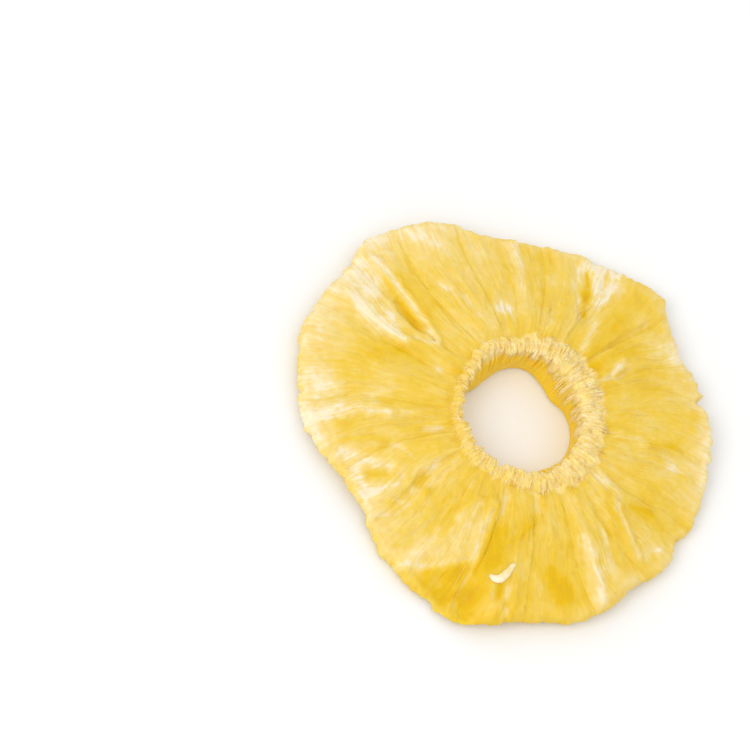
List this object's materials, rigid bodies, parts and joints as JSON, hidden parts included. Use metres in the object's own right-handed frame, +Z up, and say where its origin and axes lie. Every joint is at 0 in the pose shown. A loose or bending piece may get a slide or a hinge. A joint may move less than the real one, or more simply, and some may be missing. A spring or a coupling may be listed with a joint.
{
  "type": "pineapple ring",
  "caption": "Dried pineapple ring lying flat: a ragged-edged slice with a crimped core hole, radial fibres and a wavy rim.",
  "frame": {"origin": "middle of the ring's bounding box, on the surface that it rests on", "axes": "+Z up, out of the shown face; +X and +Y lie in the plane of the ring, with the pared corner of the rim towards -X and -Y"},
  "size_m": [0.0862, 0.0832, 0.0096],
  "materials": {
    "pineapple_flesh": "golden dried fruit flesh, slightly translucent, sticky satin sheen, with pale fibres"
  },
  "bodies": {
    "root": {"pineapple_ring": "pineapple_flesh"}
  },
  "joints": []
}
